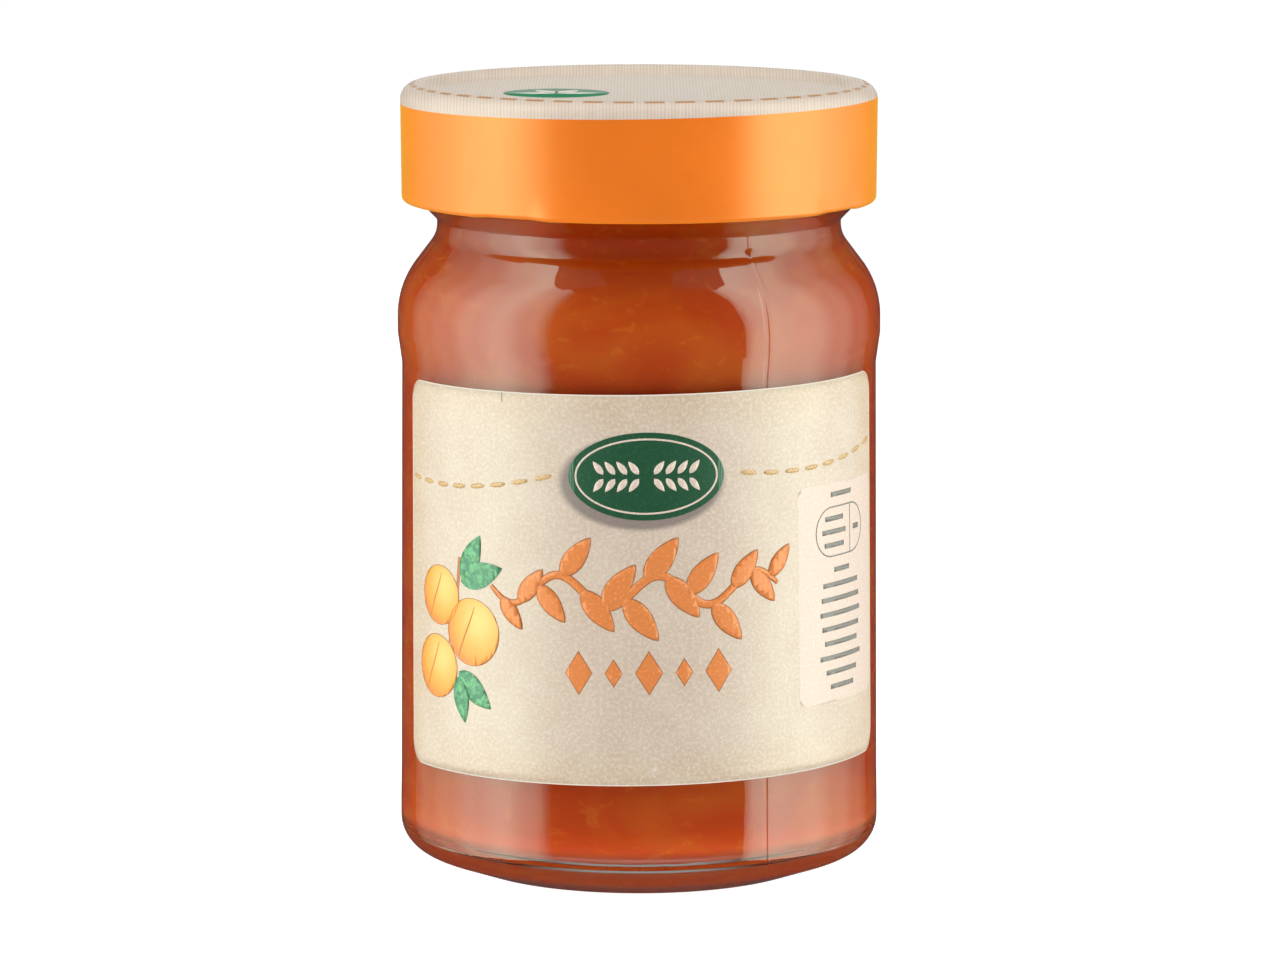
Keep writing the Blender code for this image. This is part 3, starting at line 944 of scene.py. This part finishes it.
def filled(outlines, z=0.0):
    """A bmesh of flat fields at a height, with maps of their place and of each motif."""
    shape = bmesh.new()
    flat = shape.loops.layers.uv.new("flat")
    motif = shape.loops.layers.uv.new("motif")
    for outline in outlines:
        points = [(x * MM, y * MM) for x, y in outline]
        face = shape.faces.new([shape.verts.new((x, y, z)) for x, y in points])
        xs, ys = zip(*points)
        middle = Vector(((min(xs) + max(xs)) / 2.0, (min(ys) + max(ys)) / 2.0))
        half = max(max(xs) - min(xs), max(ys) - min(ys)) / 2.0
        for loop in face.loops:
            loop[flat].uv = loop.vert.co.xy
            loop[motif].uv = (loop.vert.co.xy - middle) / half
    bmesh.ops.triangulate(shape, faces=shape.faces[:])
    return shape


def face_up(shape):
    """Turn the faces of flat fields upwards."""
    for face in shape.faces:
        face.normal_update()
        if face.normal.z < 0.0:
            face.normal_flip()


def print_field(name, outlines, layer, material):
    """Thin fields of one ink, stuck on the paper in a given layer."""
    settings = bpy.context.scene.jam_jar_label
    shape = filled(outlines)
    for number in range(1, PRINT_COLUMNS):
        x = (number / PRINT_COLUMNS - 0.5) * LABEL_WIDTH
        cut(shape, (x, 0.0, 0.0), (1.0, 0.0, 0.0), MERGE_DISTANCE / 10.0)
    face_up(shape)
    stick_on(shape, settings.gap + settings.paper + (layer - 1) * settings.ink - settings.ink / 4.0)
    piece = make_piece(f"print_{name}", shape, material)
    thicken(piece, settings.ink * 1.25, 1.0)
    even_shading(piece)


def ink_material(name, tone, dark_share, pitch=0.4 * MM, roughness=0.42):
    """A printed ink with a fine weave and a little unevenness."""
    maker = MaterialMaker(name, PRINT_SHADER | {"Roughness": roughness})
    flat = maker.uv("flat")
    weave = maker.weave(flat, INK_SLANT, pitch, 0.8)
    shade = maker.mix(weave, tone, shaded(tone, dark_share))
    specks = maker.step(maker.noise(flat, 2400.0, 2.0, 0.7), 0.5, 0.75)
    light = tuple(min(1.0, 1.25 * part + 0.02) for part in tone)
    maker.paint(maker.mix(specks, shade, light))
    maker.bump(weave, 0.006 * MM)
    return maker.material


def fruit_material(settings):
    """Ripe fruit, pale where it faces the light and orange at its far side."""
    maker = MaterialMaker("print_ripe_fruit", PRINT_SHADER)
    lit = maker.vector("DISTANCE", maker.uv("motif"), (0.28, 0.32, 0.0), 1)
    lit = maker.plus(lit, maker.times(maker.noise(maker.uv("flat"), 700.0, 4.0, 0.7), 0.35))
    tone = maker.mix(maker.step(lit, 0.25, 1.25), (0.90, 0.57, 0.15), settings.fruit)
    maker.paint(maker.mix(maker.step(lit, 1.05, 1.75), tone, (0.66, 0.17, 0.02)))
    return maker.material


def leaf_material(settings):
    """A printed leaf, lighter along its ribs."""
    maker = MaterialMaker("print_leaf", PRINT_SHADER)
    ribs = maker.step(maker.noise(maker.uv("flat"), 900.0, 3.0, 0.65, 0.8), 0.40, 0.66)
    maker.paint(maker.mix(ribs, settings.leaf, (0.13, 0.42, 0.17)))
    return maker.material


def garland(grow):
    """Outlines of a wavy stem with leaves on both sides, grown by a margin."""
    points, widths = [], []
    for step in range(GARLAND_STEPS + 1):
        share = step / GARLAND_STEPS
        wave = math.sin((2.0 * share - 1.0) * math.tau * 1.5)
        x = GARLAND_HALF_WIDTH * (2.0 * share - 1.0) + GARLAND_MIDDLE
        points.append((x, GARLAND_SWING * wave))
        widths.append(0.35 + 0.75 * math.sin(math.pi * share) ** 0.5 + 2.0 * grow)
    outlines = [ribbon(points, widths)]
    for number in range(GARLAND_LEAVES):
        share = (number + 0.6) / GARLAND_LEAVES
        side = 1.0 if number % 2 else -1.0
        size = 0.72 + 0.34 * math.sin(math.pi * share)
        outline = leaf(7.4 * size, 3.1 * size, grow=grow)
        outlines.append(moved(outline, *points[round(share * GARLAND_STEPS)], side * GARLAND_LEAF_TURN))
    return outlines


def diamonds(grow):
    """Outlines of a row of small diamonds under the garland."""
    outlines = []
    for number, height in enumerate(DIAMOND_HEIGHTS):
        high, x = height + grow, (number - 2) * DIAMOND_PITCH
        wide = 0.62 * high
        outlines.append([(x - wide, DIAMOND_Y), (x, DIAMOND_Y - high),
                         (x + wide, DIAMOND_Y), (x, DIAMOND_Y + high)])
    return outlines


def stitches():
    """Outlines of two sagging rows of stitches, from the oval to the label's sides."""
    outlines = []
    for side in (-1.0, 1.0):
        for number in range(8):
            xs = [14.2 + 3.9 * number + 2.7 * step / 6 for step in range(7)]
            points = [(side * x, 15.5 + 0.006 * (x - 30.0) ** 2 + side * 0.07 * (x - 14.0)) for x in xs]
            outlines.append(ribbon(points, STITCH_WIDTHS))
    return outlines


class JAMJAR_OT_label_print(Operator):
    """Print the label with a plain oval, a leafy garland, a sprig of fruit and an information field"""
    bl_idname = "jam_jar.label_print"
    bl_label = "Label print"
    bl_options = {"REGISTER", "UNDO"}

    def execute(self, context):
        settings = context.scene.jam_jar_label
        brown = ink_material("print_brown", (0.42, 0.13, 0.03), 0.8, 0.3 * MM)
        orange = ink_material("print_orange", settings.orange, 0.86, 0.3 * MM)
        green = ink_material("print_green", settings.green, 0.5)
        cream = ink_material("print_cream", (0.71, 0.57, 0.47), 0.94)
        grey = ink_material("print_grey", (0.20, 0.18, 0.16), 0.9)
        tan = ink_material("print_tan", (0.66, 0.42, 0.18), 0.55, 0.5 * MM)
        rim = 0.16
        for name, outlines, layer, ink in (
                ("garland_outline", garland(rim)[:1], 1, brown),
                ("garland_leaf_outline", garland(rim)[1:], 2, brown),
                ("garland", garland(0.0)[:1], 3, orange),
                ("garland_leaves", garland(0.0)[1:], 4, orange),
                ("diamond_outlines", diamonds(rim * 1.5), 1, brown),
                ("diamonds", diamonds(0.0), 2, orange),
                ("stitches", stitches(), 1, tan)):
            print_field(name, outlines, layer, ink)
        self.print_oval(green, cream)
        self.print_fruit(settings, brown)
        self.print_information(cream, grey)
        return {"FINISHED"}

    def print_oval(self, green, cream):
        """The green oval with its cream line and sprig."""
        print_field("oval", [oval(0.0, OVAL_Y, 11.6, 6.5, 64)], 1, green)
        ring = oval(0.0, OVAL_Y, 10.5, 5.5, 64)
        halves = [line(ring[:33], 0.28), line(ring[32:] + ring[:1], 0.28)]
        print_field("oval_line", halves, 2, cream)
        sprig = []
        for side in (-1.0, 1.0):
            for number in range(4):
                x = side * (1.1 + 1.75 * number)
                for turn in (52.0, -52.0):
                    angle = math.radians(turn if side > 0 else 180.0 - turn)
                    sprig.append(moved(leaf(2.5, 1.0, 6), x, OVAL_Y + math.copysign(0.3, turn), angle))
        print_field("oval_sprig", sprig, 2, cream)

    def print_fruit(self, settings, brown):
        """Three round fruits on a short stem, with leaves."""
        fruit = fruit_material(settings)
        rust = ink_material("print_rust", (0.66, 0.22, 0.03), 0.85)
        stem = ribbon(FRUIT_STEM, FRUIT_STEM_WIDTHS)
        print_field("fruit_stem", [stem], 1, brown)
        crease_widths = [0.30 * math.sin(math.pi * (step + 1) / 10) for step in range(9)]
        for number, (x, y, radius) in enumerate(FRUITS, 1):
            edge = oval(x, y, radius + 0.12, radius * 0.96 + 0.12)
            crease = []
            for step in range(9):
                bow = 0.45 * math.cos(math.radians(140.0 - 95.0 * step / 8)) - 0.2
                crease.append((x + radius * bow, y + radius * (1.5 * step / 8 - 0.75)))
            print_field(f"fruit_edge_{number}", [edge], 2, brown)
            print_field(f"fruit_{number}", [oval(x, y, radius, radius * 0.96)], 3, fruit)
            print_field(f"fruit_crease_{number}", [ribbon(crease, crease_widths)], 4, rust)
        green = leaf_material(settings)
        for number, (x, y, turn, size) in enumerate(FRUIT_LEAVES, 1):
            outline = moved(leaf(size, 0.46 * size), x, y, math.radians(turn))
            print_field(f"fruit_leaf_{number}", [outline], 6 - number % 2, green)

    def print_information(self, cream, grey):
        """A cream field with a plain capsule and grey bars."""
        x, y = INFORMATION_PLACE
        print_field("information", [block(x, y, 20.2, 33.0, 1.4)], 1, cream)
        capsule_y = y + CAPSULE_RISE
        capsule = block(x, capsule_y, 12.6, 7.4, 3.6, 10)
        capsule.append(capsule[0])
        half = len(capsule) // 2
        rings = [line(capsule[:half + 1], 0.22), line(capsule[half:], 0.22)]
        rings.append(block(x + 2.4, capsule_y, 0.2, 7.2))
        print_field("capsule", rings, 2, grey)
        bars = [block(x, y + 14.8, 5.6, BAR_HEIGHT)]
        for number, wide in enumerate(BAR_WIDTHS):
            bars.append(block(x, y + 3.4 - 2.2 * number, wide, BAR_HEIGHT))
        for number, wide in enumerate(CAPSULE_BAR_WIDTHS):
            bars.append(block(x - 1.9, y + 11.2 - 2.0 * number, wide, BAR_HEIGHT))
        bars.append(block(x + 4.3, capsule_y, 1.8, 0.8))
        print_field("bars", bars, 2, grey)


class JAMJAR_OT_lid_print(Operator):
    """Print a green field with a pair of leaves on the lid's panel"""
    bl_idname = "jam_jar.lid_print"
    bl_label = "Lid print"
    bl_options = {"REGISTER", "UNDO"}

    def execute(self, context):
        settings = context.scene.jam_jar_lid
        panel_z = settings.top - settings.panel_depth
        green = ink_material("lid_print_green", (0.02, 0.23, 0.10), 0.7, roughness=0.3)
        cream = ink_material("lid_print_cream", (0.80, 0.74, 0.62), 0.94, roughness=0.3)
        field = oval(*LID_FIELD_PLACE, 8.0, 8.0)
        leaves = [moved(leaf(6.4, 2.6), *LID_FIELD_PLACE, math.pi / 3.0 * number) for number in range(4)]
        for name, outlines, low, ink in (("lid_print_oval", [field], 0.0, green),
                                         ("lid_print_leaves", leaves, LID_INK, cream)):
            shape = filled(outlines, panel_z + low)
            face_up(shape)
            thicken(make_piece(name, shape, ink), LID_INK * 1.25, 1.0)
        return {"FINISHED"}


# Stage

# Outputs of a light path node
CAMERA_RAY = 0
GLOSSY_RAY = 3
TRANSMISSION_RAY = 6


def glowing_material(name, light, tone, stops):
    """A softbox's cloth.

    The light is its brightness in gloss, as soft light and on the jam behind the glass. The stops
    are (share of the way from its inner edge, brightness).
    """
    gloss, soft, through = light
    maker = MaterialMaker(name, {"Base Color": (0.0, 0.0, 0.0, 1.0), "Specular IOR Level": 0.0})
    fade = maker.put("ValToRGB", {0: maker.axis(maker.uv("sheet"), 0)})
    ramp = fade.node.color_ramp
    ramp.interpolation = "EASE"
    for index, (place, brightness) in enumerate(stops):
        stop = ramp.elements[index] if index < 2 else ramp.elements.new(place)
        stop.position = place
        stop.color = (brightness, brightness, brightness, 1.0)
    in_gloss = maker.put("LightPath", {}, GLOSSY_RAY)
    through_glass = maker.put("LightPath", {}, TRANSMISSION_RAY)
    level = maker.put("MapRange", {"Value": in_gloss, "To Min": soft, "To Max": gloss})
    level = maker.put("Mix", {0: through_glass, 2: level, 3: through}, data_type="FLOAT")
    maker.join(maker.shader.inputs["Emission Color"], maker.mix(in_gloss, (1.0, 1.0, 1.0), tone))
    maker.join(maker.shader.inputs["Emission Strength"], maker.times(level, fade))
    return maker.material


def softbox(name, sides, material):
    """A flat softbox from its inner lower corner and its two sides."""
    corner, along, up = [Vector(side) for side in sides]
    shape = bmesh.new()
    bmesh.ops.create_grid(shape, x_segments=1, y_segments=1, size=0.5)
    uv_map(shape, "sheet", lambda co: co.xy + Vector((0.5, 0.5)))
    for vert in shape.verts:
        vert.co = corner + along * (vert.co.x + 0.5) + up * (vert.co.y + 0.5)
    light = mesh_object(name, shape, material)
    light.visible_camera = False
    light.visible_shadow = False


# Places of the softboxes, as an inner lower corner and two sides
LEFT_SIDES = ((-0.6, -0.72, -0.35), (0.0, 1.32, 0.0), (0.0, 0.0, 1.6))
RIGHT_SIDES = ((0.6, -0.50, -0.35), (0.0, 1.214, 0.0), (0.0, 0.0, 1.6))
OVERHEAD_SIDES = ((-0.6, -0.45, 1.1), (1.2, 0.0, 0.0), (0.0, 0.6, 0.0))
BACKDROP_SIDES = ((-0.4, 0.9, 0.16), (0.8, 0.0, 0.0), (0.0, 0.0, 0.36))

# Brightness of each softbox from its inner edge outwards, and on the jam behind the glass
LEFT_FADE = ((0.0, 0.0), (0.2, 0.62), (0.36, 1.0), (0.50, 0.72), (0.64, 0.34), (0.79, 0.16), (1.0, 0.05))
RIGHT_FADE = ((0.0, 0.35), (0.08, 0.85), (0.19, 1.0), (0.38, 0.78), (0.57, 0.34), (0.76, 0.12), (1.0, 0.04))
OVERHEAD_FADE = ((0.0, 1.0), (1.0, 1.0))
BACKDROP_FADE = ((0.0, 0.0), (0.38, 1.0), (0.62, 1.0), (1.0, 0.0))
LEFT_THROUGH = 5.4
RIGHT_THROUGH = 4.7
OVERHEAD_THROUGH = 0.3
LEFT_GAIN = 1.06
BACKDROP_LIGHT = (0.65, 0.3, 0.3)
SOFTBOX_TONE = (0.98, 1.20, 1.0)
BACKDROP_TONE = (0.95, 1.0, 0.97)
WORLD_FILL = 0.13
WORLD_GLOSS = 0.05
FLOOR_HALF_WIDTH = 4.0
FLOOR_GLOW = 0.96
FLOOR_GLOW_THROUGH = 1.45
FLOOR_DARK = (0.30, 0.30, 0.30)
FLOOR_LIGHT = (0.34, 0.34, 0.34)


class JAMJAR_OT_stage(Operator):
    """Set the pale floor, the softboxes and the camera"""
    bl_idname = "jam_jar.stage"
    bl_label = "Stage"
    bl_options = {"REGISTER", "UNDO"}

    def execute(self, context):
        settings = context.scene.jam_jar_stage
        self.add_floor()
        self.add_lights(settings)
        self.add_world(context.scene)
        camera_data = bpy.data.cameras.new("camera")
        camera_data.lens = settings.lens
        camera_data.clip_end = 20.0
        camera = bpy.data.objects.new("camera", camera_data)
        camera.location = (0.0, -settings.camera_distance, settings.camera_height)
        camera.rotation_euler = (settings.camera_tilt, 0.0, 0.0)
        context.scene.collection.objects.link(camera)
        context.scene.camera = camera
        context.scene.view_settings.view_transform = "Standard"
        return {"FINISHED"}

    def add_floor(self):
        """A white floor, with a soft shadow under the jar."""
        maker = MaterialMaker("pale_floor", {"Roughness": 0.8, "Emission Color": (1.0, 1.0, 1.0, 1.0)})
        through_glass = maker.put("LightPath", {}, TRANSMISSION_RAY)
        glow = maker.put("MapRange", {"Value": through_glass, "To Min": FLOOR_GLOW,
                                      "To Max": FLOOR_GLOW_THROUGH})
        maker.join(maker.shader.inputs["Emission Strength"], glow)
        maker.paint(maker.mix(maker.noise(maker.place(), 40.0, 2.0), FLOOR_DARK, FLOOR_LIGHT))
        shape = bmesh.new()
        bmesh.ops.create_grid(shape, x_segments=1, y_segments=1, size=FLOOR_HALF_WIDTH)
        floor = mesh_object("floor", shape, maker.material)
        floor.visible_glossy = False

    def add_lights(self, settings):
        """Tall softboxes at both sides, one overhead and a strip of backdrop behind the jar."""
        gloss, soft = settings.gloss_light, settings.soft_light
        for name, light, tone, fade, sides in (
                ("left_softbox", (gloss, soft * LEFT_GAIN, LEFT_THROUGH),
                 SOFTBOX_TONE, LEFT_FADE, LEFT_SIDES),
                ("right_softbox", (gloss, soft, RIGHT_THROUGH), SOFTBOX_TONE, RIGHT_FADE, RIGHT_SIDES),
                ("overhead_softbox", (settings.overhead_gloss, soft, OVERHEAD_THROUGH),
                 SOFTBOX_TONE, OVERHEAD_FADE, OVERHEAD_SIDES),
                ("backdrop", BACKDROP_LIGHT, BACKDROP_TONE, BACKDROP_FADE, BACKDROP_SIDES)):
            softbox(name, sides, glowing_material(f"{name}_cloth", light, tone, fade))

    def add_world(self, scene):
        """White behind the jar, dim in its gloss, and a soft fill light."""
        world = bpy.data.worlds.new("studio")
        world.use_nodes = True
        maker = NodeMaker(world.node_tree)
        seen = maker.put("MapRange", {"Value": maker.put("LightPath", {}, CAMERA_RAY), "To Min": WORLD_FILL})
        level = maker.put("MapRange", {"Value": maker.put("LightPath", {}, GLOSSY_RAY), "To Min": seen,
                                       "To Max": WORLD_GLOSS})
        background = world.node_tree.nodes["Background"]
        maker.join(background.inputs["Color"], (1.0, 1.0, 1.0, 1.0))
        maker.join(background.inputs["Strength"], level)
        scene.world = world


class JAMJAR_PT_panel(Panel):
    """Lists the pieces of the jam jar"""
    bl_label = "Jam Jar"
    bl_idname = "JAMJAR_PT_panel"
    bl_space_type = "VIEW_3D"
    bl_region_type = "UI"
    bl_category = "Jam Jar"

    def draw(self, context):
        scene = context.scene
        for group, operators in (
                (scene.jam_jar_glass, (JAMJAR_OT_glass,)),
                (scene.jam_jar_jam, (JAMJAR_OT_jam,)),
                (scene.jam_jar_lid, (JAMJAR_OT_lid, JAMJAR_OT_lid_print)),
                (scene.jam_jar_label, (JAMJAR_OT_label, JAMJAR_OT_label_print)),
                (scene.jam_jar_stage, (JAMJAR_OT_stage,))):
            box = self.layout.box()
            for name in group.bl_rna.properties.keys():
                if name not in {"rna_type", "name"}:
                    box.prop(group, name)
            for operator in operators:
                box.operator(operator.bl_idname)


SETTINGS = {
    "jam_jar_glass": GlassSettings,
    "jam_jar_jam": JamSettings,
    "jam_jar_lid": LidSettings,
    "jam_jar_label": LabelSettings,
    "jam_jar_stage": StageSettings,
}
OPERATORS = (JAMJAR_OT_glass, JAMJAR_OT_jam, JAMJAR_OT_lid, JAMJAR_OT_lid_print, JAMJAR_OT_label,
             JAMJAR_OT_label_print, JAMJAR_OT_stage)


def register():
    for group in SETTINGS.values():
        bpy.utils.register_class(group)
    for operator in OPERATORS:
        bpy.utils.register_class(operator)
    bpy.utils.register_class(JAMJAR_PT_panel)
    for name, group in SETTINGS.items():
        setattr(bpy.types.Scene, name, PointerProperty(type=group))


def unregister():
    for name in SETTINGS:
        delattr(bpy.types.Scene, name)
    bpy.utils.unregister_class(JAMJAR_PT_panel)
    for cls in (*reversed(OPERATORS), *reversed(SETTINGS.values())):
        bpy.utils.unregister_class(cls)


def main():
    register()
    bpy.ops.jam_jar.stage()
    bpy.ops.jam_jar.glass()
    bpy.ops.jam_jar.jam()
    bpy.ops.jam_jar.lid()
    bpy.ops.jam_jar.lid_print()
    bpy.ops.jam_jar.label()
    bpy.ops.jam_jar.label_print()


if __name__ == "__main__":
    main()
